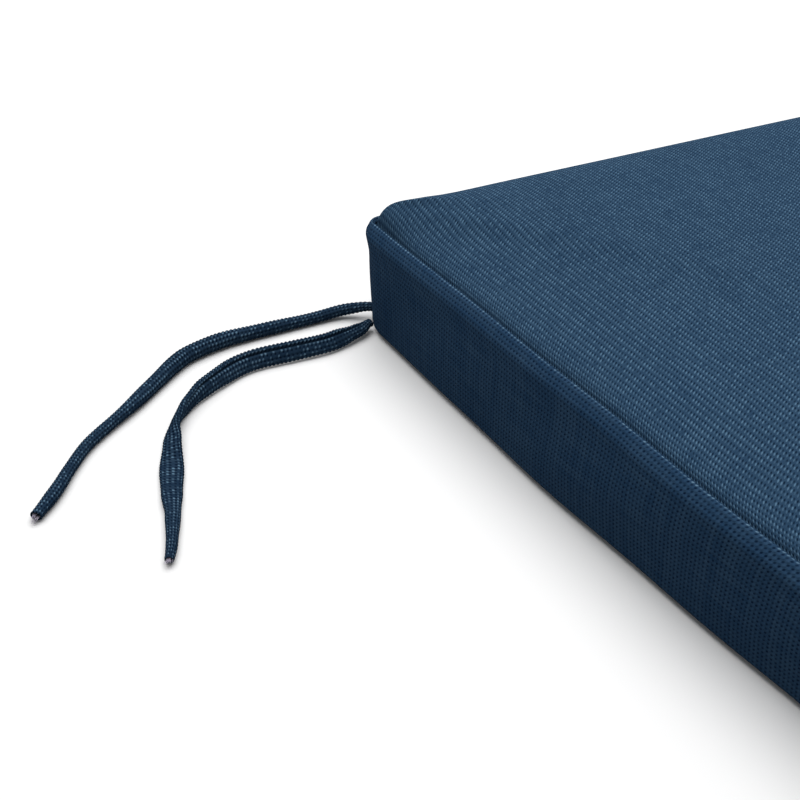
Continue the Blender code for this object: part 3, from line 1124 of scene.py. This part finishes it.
@dataclass
class FrayedTip:
    """The lining's loose threads in a tie's open end.

    Attributes:
        name: Object name.
        centre: Middle of the open end.
        along: Direction in which the tie ends.
        reach: Half width and half thickness of the opening, in metres.
        seed: Number that sets the threads' places.
        count: Number of threads.
    """

    name: str
    centre: Vector
    along: Vector
    reach: tuple[float, float]
    seed: int
    count: int = 22

    def build(self, lining: bpy.types.Material) -> bpy.types.Object:
        """Makes the threads.

        Args:
            lining: Their material.

        Returns:
            The piece.
        """
        chance = random.Random(self.seed)
        across = Vector((-self.along.y, self.along.x, 0.0)).normalized()
        up = across.cross(self.along)
        skin = ClothMesh()
        for _ in range(self.count):
            turn = chance.uniform(0.0, 2.0 * math.pi)
            far = chance.uniform(0.2, 0.92)
            place = self.centre + across * (math.cos(turn) * far * self.reach[0])
            place = place + up * (math.sin(turn) * far * self.reach[1])
            length = chance.uniform(0.0005, 0.0022) + (0.0016 if chance.random() < 0.2 else 0.0)
            drift = across * chance.gauss(0.0, 0.3) + up * chance.gauss(0.0, 0.3)
            thick = chance.uniform(0.00011, 0.00019)
            ring: list[bmesh.types.BMVert] | None = None
            for step in range(5):
                share = step / 4
                middle = place + self.along * (share * (length + 0.0012) - 0.0012)
                middle = middle + drift * (share * share * length)
                middle.z = max(middle.z, 0.0004)
                size = thick * (1.0 - 0.5 * share)
                points = [middle + across * size, middle + up * size, middle - across * size, middle - up * size]
                spread = [(side * thick, share * length) for side in range(4)]
                if ring is None:
                    ring = skin.start(points, spread)
                    skin.close(ring)
                else:
                    ring = skin.grow(ring, points, spread)
            skin.close(ring)
        made = skin.finish(self.name, lining)
        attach(made, BODY)
        return made


@dataclass
class ClothTie:
    """One cloth tube tie, lying on the floor from a back corner.

    Attributes:
        name: Name of the CAD node that it replaces.
        pattern: How it lies.
        end: The end of the cushion that it is sewn to.
        plan: The cushion's plan.
        steps: Rings along it.
        sides: Vertices round a ring.
    """

    name: str
    pattern: TiePattern
    end: CushionEnd
    plan: CushionPlan
    steps: int = 640
    sides: int = 40
    floor_gap: float = 0.0003

    def centreline(self) -> list[Vector]:
        """Returns evenly spaced points on a smooth curve through the route."""
        points = []
        for out, back, height in self.pattern.route:
            x = self.end.value * (self.plan.length / 2 + out * MM)
            points.append(Vector((x, self.plan.depth / 2 + back * MM, height * MM)))
        ends = [points[0] * 2 - points[1], *points, points[-1] * 2 - points[-2]]
        fine = []
        for a, b, c, d in zip(ends, ends[1:], ends[2:], ends[3:]):
            for step in range(24):
                t = step / 24
                fine.append(
                    b
                    + (c - a) * (0.5 * t)
                    + (a * 2 - b * 5 + c * 4 - d) * (0.5 * t * t)
                    + (b * 3 - a - c * 3 + d) * (0.5 * t * t * t)
                )
        fine.append(points[-1])
        lengths = section_lengths([tuple(point) for point in fine])
        even = []
        index = 0
        for step in range(self.steps + 1):
            target = lengths[-1] * step / self.steps
            while index < len(fine) - 2 and lengths[index + 1] < target:
                index += 1
            span = lengths[index + 1] - lengths[index]
            even.append(fine[index].lerp(fine[index + 1], (target - lengths[index]) / span))
        return even

    def form_at(self, share: float) -> tuple[float, float, float]:
        """Returns the width, thickness and roll at a share of the length."""
        form = self.pattern.form
        for low, high in zip(form, form[1:]):
            if share <= high.share:
                ease = smooth_step((share - low.share) / (high.share - low.share))
                return (
                    low.width + (high.width - low.width) * ease,
                    low.thickness + (high.thickness - low.thickness) * ease,
                    low.roll + (high.roll - low.roll) * ease,
                )
        last = form[-1]
        return last.width, last.thickness, last.roll

    def _section(self, centre: Vector, along: Vector, share: float, shrink: float = 0.0) -> list[Vector]:
        """Traces one ring round the tie.

        Args:
            centre: The ring's middle.
            along: Direction of the tie.
            share: Share of the length.
            shrink: How far inside the skin the ring lies, in mm.

        Returns:
            The ring's points.
        """
        sign = self.end.value
        width, thickness, roll_deg = self.form_at(share)
        across = Vector((-along.y, along.x, 0.0)).normalized() * sign
        up = across.cross(along) if sign > 0 else along.cross(across)
        up = up if up.z > 0 else -up
        roll = math.radians(roll_deg)
        wide = across * math.cos(roll) + up * math.sin(roll)
        thin = up * math.cos(roll) - across * math.sin(roll)
        half_wide = (width / 2 - shrink) * MM
        half_thin = (thickness / 2 - shrink) * MM
        ring = []
        flat = min(max((width / thickness - 1.2) / 1.4, 0.0), 1.0)
        power = 2.0 + 0.8 * flat
        for side in range(self.sides):
            angle = 2.0 * math.pi * side / self.sides
            cos, sin = math.cos(angle), math.sin(angle)
            tall = math.copysign((1.0 - min(abs(cos), 1.0) ** power) ** (1.0 / power), sin)
            if sin > 0.0:
                dip = math.exp(-(((cos - self.pattern.hem) / 0.11) ** 2))
                tall -= self.pattern.hem_depth * flat * dip
            rib = 1.0 + 0.05 * math.cos(2.0 * math.pi * (share * self.pattern.length / 0.0019))
            ring.append(centre + wide * (cos * half_wide * rib) + thin * (tall * half_thin * rib))
        lowest = min(point.z for point in ring)
        lift = max(0.0, self.floor_gap - lowest)
        return [point + Vector((0.0, 0.0, lift)) for point in ring]

    def build(self, cloth: bpy.types.Material, lining: bpy.types.Material) -> list[bpy.types.Object]:
        """Makes the tie and its open tip.

        Args:
            cloth: The tie's material.
            lining: Material of the pale inside of the tip.

        Returns:
            The tie's pieces.
        """
        path = self.centreline()
        skin = ClothMesh()
        ring = None
        step_length = self.pattern.length / self.steps
        girth = 2.0 * (self.pattern.widest + 0.002)
        for index, centre in enumerate(path):
            ahead = (path[min(index + 1, self.steps)] - path[max(index - 1, 0)]).normalized()
            points = self._section(centre, ahead, index / self.steps)
            spread = [(girth * side / self.sides, index * step_length) for side in range(self.sides)]
            if ring is None:
                ring = skin.start(points, spread)
                skin.close(ring)
            else:
                ring = skin.grow(ring, points, spread)
        for back, shrink in ((0, 0.45), (3, 0.60), (6, 0.65)):
            index = self.steps - back
            points = self._section(path[index], ahead, index / self.steps, shrink)
            spread = [(girth * side / self.sides, index * step_length) for side in range(self.sides)]
            ring = skin.grow(ring, points, spread)
        skin.close(ring)
        made = skin.finish(self.name + "_cloth", cloth, around=girth)
        width, thickness, _ = self.form_at(1.0)
        reach = ((width / 2 - 0.6) * MM, (thickness / 2 - 0.6) * MM)
        seed = round(self.pattern.length * 1000) + self.end.value
        tip = FrayedTip(self.name + "_tip", path[-1], ahead, reach, seed).build(lining)
        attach(made, BODY)
        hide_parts(self.name)
        return [made, tip]


@dataclass
class Studio:
    """Camera, lights and floor.

    Attributes:
        camera_place: Camera location.
        camera_turn: Camera rotation in degrees, XYZ order.
        lens: Focal length in mm on a 36 mm sensor.
        floor_size: Side of the floor.
        floor_bounce: How much light the floor throws back on to the cloth.
        backdrop: Colour of the surroundings.
    """

    camera_place: tuple[float, float, float] = (-0.91778, -0.32633, 0.34322)
    camera_turn: tuple[float, float, float] = (58.809, -2.19, -30.603)
    lens: float = 1598.55 / 800 * 36
    floor_size: float = 14.0
    floor_bounce: float = 0.40
    backdrop: Colour = (1.0, 1.0, 1.0)

    def camera(self) -> bpy.types.Object:
        """Sets up the camera at the photograph's angle."""
        data = bpy.data.cameras.new("photo_camera")
        data.sensor_width = 36.0
        data.lens = self.lens
        data.clip_start = 0.01
        data.clip_end = 50.0
        made = bpy.data.objects.new("photo_camera", data)
        made.location = self.camera_place
        made.rotation_euler = Euler([math.radians(turn) for turn in self.camera_turn], "XYZ")
        bpy.context.collection.objects.link(made)
        bpy.context.scene.camera = made
        return made

    def floor(self) -> bpy.types.Object:
        """Lays the plain pale floor."""
        bm = bmesh.new()
        bmesh.ops.create_grid(bm, x_segments=1, y_segments=1, size=self.floor_size / 2)
        mesh = bpy.data.meshes.new("floor")
        bm.to_mesh(mesh)
        bm.free()
        paint = bpy.data.materials.new("pale_floor")
        paint.use_nodes = True
        shader = paint.node_tree.nodes["Principled BSDF"]
        bench = NodeBench(paint.node_tree)
        seen = bench.add("ShaderNodeLightPath").outputs["Is Camera Ray"]
        dim = (self.floor_bounce, self.floor_bounce, self.floor_bounce, 1.0)
        bench.feed(shader.inputs["Base Color"], bench.blend(seen, dim, (0.90, 0.90, 0.90, 1.0)))
        shader.inputs["Roughness"].default_value = 0.9
        shader.inputs["Specular IOR Level"].default_value = 0.1
        mesh.materials.append(paint)
        made = bpy.data.objects.new("floor", mesh)
        bpy.context.collection.objects.link(made)
        return made

    def lamp(self, name: str, place: Vector, aim: Vector, size: float, power: float) -> bpy.types.Object:
        """Hangs one square soft light.

        Args:
            name: Object name.
            place: Its location.
            aim: The point that it faces.
            size: Side of the light.
            power: Power in watts.

        Returns:
            The light.
        """
        data = bpy.data.lights.new(name, "AREA")
        data.shape = "SQUARE"
        data.size = size
        data.energy = power
        made = bpy.data.objects.new(name, data)
        made.location = place
        made.rotation_euler = (aim - place).to_track_quat("-Z", "Y").to_euler()
        bpy.context.collection.objects.link(made)
        return made

    def light(self) -> None:
        """Sets the pale surroundings and the overhead lights."""
        world = bpy.data.worlds.new("studio")
        world.use_nodes = True
        backdrop = world.node_tree.nodes["Background"]
        backdrop.inputs["Color"].default_value = (*self.backdrop, 1.0)
        backdrop.inputs["Strength"].default_value = 0.3
        bpy.context.scene.world = world
        middle = Vector((-0.3, 0.1, 0.0))
        self.lamp("overhead", Vector((-0.2, 0.8, 2.1)), middle, 3.0, 77.0)
        view = bpy.context.scene.view_settings
        view.view_transform = "Standard"
        view.look = "None"
        view.exposure = 0.0
        view.gamma = 1.0


def main() -> None:
    """Builds the cushion, dresses it and lights it."""
    logging.basicConfig(level=logging.INFO, format="%(name)s: %(message)s")
    studio = Studio()
    studio.camera()
    plan = CushionPlan()
    weave = WeaveGroup()
    panel_cloth = PANEL_CLOTH.material(weave)
    band_cloth = BAND_CLOTH_PAINTED_LIGHT.material(weave)
    tie_cloth = TIE_CLOTH.material(weave)
    lining = TipLining().material()
    pieces: list[bpy.types.Object] = []
    for end, word in ((CushionEnd.LEFT, "left"), (CushionEnd.RIGHT, "right")):
        for pattern, place in ((UPPER_TIE, "upper"), (LOWER_TIE, "lower")):
            tie = ClothTie(f"tie_{word}_{place}", pattern, end, plan)
            pieces += tie.build(tie_cloth, lining)
    pieces.append(FilledPanels(plan).build(panel_cloth))
    pieces.append(BoxingBand(plan).build(band_cloth))
    for piece in pieces:
        LOG.info("%s: %d faces", piece.name, len(piece.data.polygons))
    studio.floor()
    studio.light()


if __name__ == "__main__":
    main()
